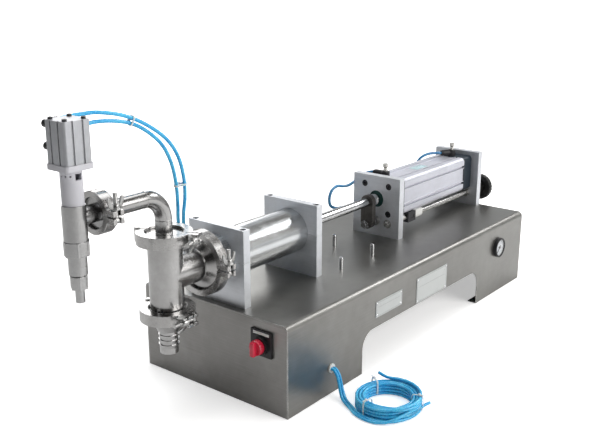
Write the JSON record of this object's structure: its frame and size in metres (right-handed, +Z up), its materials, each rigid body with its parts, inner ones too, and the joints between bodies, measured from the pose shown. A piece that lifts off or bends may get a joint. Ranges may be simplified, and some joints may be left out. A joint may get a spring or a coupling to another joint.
{
  "type": "piston liquid filler",
  "caption": "Bench-top air-driven piston filler: sheet-metal base, horizontal product cylinder, valve tee, elbow and shut-off filling head, with stroke handwheel.",
  "frame": {"origin": "centre of the base's footprint, on the surface it stands on", "axes": "+X along the base from the filling nozzle to the handwheel, +Y away from the side with the gauge, +Z up"},
  "size_m": [1.1575, 0.473, 0.494],
  "materials": {
    "sheet_steel": "brushed",
    "sheet_steel_dark": "brushed",
    "cast_aluminium": "cast",
    "white_plastic": "matt",
    "plate_white": "printed film, blank",
    "polished_steel": "polished",
    "black_plastic": "moulded",
    "red_plastic": "gloss",
    "dial_white": "matt",
    "needle_black": "matt",
    "plate_aluminium": "milled",
    "dark_steel": "blackened",
    "black_rubber": "matt",
    "chrome_rod": "polished",
    "link_steel": "milled",
    "bronze": "turned",
    "navy_cap": "satin",
    "anodised_aluminium": "anodised",
    "nickel_brass": "nickel plated",
    "spindle_steel": "threaded",
    "handwheel_black": "moulded",
    "brushed_tube": "satin",
    "clamp_steel": "cast and polished",
    "green_rubber": "matt",
    "spring_steel": "wire",
    "connector_alloy": "bead blasted",
    "blue_tube": "translucent"
  },
  "bodies": {
    "machine": {"base_cover": "sheet_steel", "end_panels": "sheet_steel_dark", "control_valve": "cast_aluminium", "side_grommet": "white_plastic", "info_plates": "plate_white", "standoff_pins": "polished_steel", "selector_bezel": "black_plastic", "gauge_case": "black_plastic", "gauge_dial": "dial_white", "block_lowers": "plate_aluminium", "block_uppers": "plate_aluminium", "cap_screws": "dark_steel", "product_cylinder": "polished_steel", "plain_bushes": "bronze", "cylinder_front_plate": "plate_aluminium", "cylinder_rear_plate": "plate_aluminium", "air_caps": "navy_cap", "air_barrel": "anodised_aluminium", "flow_controls": "black_plastic", "valve_tee": "brushed_tube", "elbow_pipe": "brushed_tube", "inlet_reducer": "brushed_tube", "pipe_clamps": "clamp_steel", "clamp_bolts": "clamp_steel", "seal_rings": "green_rubber", "check_valve_cages": "polished_steel", "suction_spring": "spring_steel", "discharge_spring": "spring_steel", "head_cylinder": "anodised_aluminium", "head_connector": "connector_alloy", "head_body": "polished_steel", "head_nuts": "polished_steel", "nozzle_sleeve": "polished_steel", "nozzle_tip": "polished_steel", "tube_fittings": "black_plastic", "head_air_tubes": "blue_tube", "flow_tubes": "blue_tube", "supply_tubes": "blue_tube", "supply_coil": "blue_tube"},
    "piston_train": {"product_piston": "white_plastic", "piston_seals": "black_rubber", "product_rod": "chrome_rod", "link_plate": "link_steel", "guide_rod": "chrome_rod", "air_piston": "cast_aluminium", "air_rod": "chrome_rod"},
    "spindle": {"adjusting_spindle": "spindle_steel", "handwheel": "handwheel_black"},
    "carriage": {"stroke_carriage": "white_plastic"},
    "selector": {"selector_knob": "red_plastic"},
    "needle": {"gauge_needle": "needle_black"},
    "front_flow_screw": {"flow_screw_front": "nickel_brass"},
    "rear_flow_screw": {"flow_screw_rear": "nickel_brass"},
    "head_wing_nut": {"wing_nut_head": "clamp_steel"},
    "outlet_wing_nut": {"wing_nut_outlet": "clamp_steel"},
    "inlet_wing_nut": {"wing_nut_inlet": "clamp_steel"},
    "cylinder_wing_nut": {"wing_nut_cylinder": "clamp_steel"},
    "suction_valve": {"suction_poppet": "white_plastic"},
    "discharge_valve": {"discharge_poppet": "white_plastic"},
    "shutoff": {"shutoff_stem": "chrome_rod"}
  },
  "joints": [
    {"name": "piston_stroke", "type": "slide", "parent": "machine", "child": "piston_train", "axis": [-1, 0, 0], "range_m": [0, 0.15]},
    {"name": "handwheel_turn", "type": "hinge", "parent": "machine", "child": "spindle", "pos_m": [0.064, -0.028, 0.183], "axis": [1, 0, 0], "range_deg": [-13500.01, 2700.01]},
    {"name": "carriage_travel", "type": "slide", "parent": "machine", "child": "carriage", "axis": [1, 0, 0], "range_m": [-0.03, 0.15]},
    {"name": "selector_turn", "type": "hinge", "parent": "machine", "child": "selector", "pos_m": [-0.41, -0.109, 0.113], "axis": [-1, 0, 0], "range_deg": [-45, 45]},
    {"name": "gauge_needle_turn", "type": "hinge", "parent": "machine", "child": "needle", "pos_m": [0.296, -0.16, 0.102], "axis": [0, -1, 0], "range_deg": [-270, 0]},
    {"name": "front_flow_screw_turn", "type": "hinge", "parent": "machine", "child": "front_flow_screw", "pos_m": [0.095, 0, 0.2685], "axis": [0, 0, 1], "range_deg": [0, 1800]},
    {"name": "rear_flow_screw_turn", "type": "hinge", "parent": "machine", "child": "rear_flow_screw", "pos_m": [0.366, 0, 0.2685], "axis": [0, 0, 1], "range_deg": [0, 1800]},
    {"name": "head_wing_nut_turn", "type": "hinge", "parent": "machine", "child": "head_wing_nut", "pos_m": [-0.624, -0.039, 0.357], "axis": [0, 0, 1], "range_deg": [0, 720]},
    {"name": "outlet_wing_nut_turn", "type": "hinge", "parent": "machine", "child": "outlet_wing_nut", "pos_m": [-0.48426, -0.04659, 0.29275], "axis": [-0.9135, -0.4067, 0], "range_deg": [0, 720]},
    {"name": "inlet_wing_nut_turn", "type": "hinge", "parent": "machine", "child": "inlet_wing_nut", "pos_m": [-0.505, -0.051, 0.17125], "axis": [-1, 0, 0], "range_deg": [0, 720]},
    {"name": "cylinder_wing_nut_turn", "type": "hinge", "parent": "machine", "child": "cylinder_wing_nut", "pos_m": [-0.43075, -0.061, 0.231], "axis": [0, 0, 1], "range_deg": [0, 720]},
    {"name": "suction_valve_lift", "type": "slide", "parent": "machine", "child": "suction_valve", "axis": [0, 0, 1], "range_m": [0, 0.008], "stiffness_N_per_m": 150, "springref_m": -0.004, "deforming": ["suction_spring"]},
    {"name": "discharge_valve_lift", "type": "slide", "parent": "machine", "child": "discharge_valve", "axis": [0, 0, 1], "range_m": [0, 0.008], "stiffness_N_per_m": 150, "springref_m": -0.004, "deforming": ["discharge_spring"]},
    {"name": "shutoff_lift", "type": "slide", "parent": "machine", "child": "shutoff", "axis": [0, 0, 1], "range_m": [0, 0.012]}
  ],
  "couplings": [
    {"joint": "handwheel_turn", "follows": "carriage_travel", "rad_per_m": -1570.8}
  ]
}
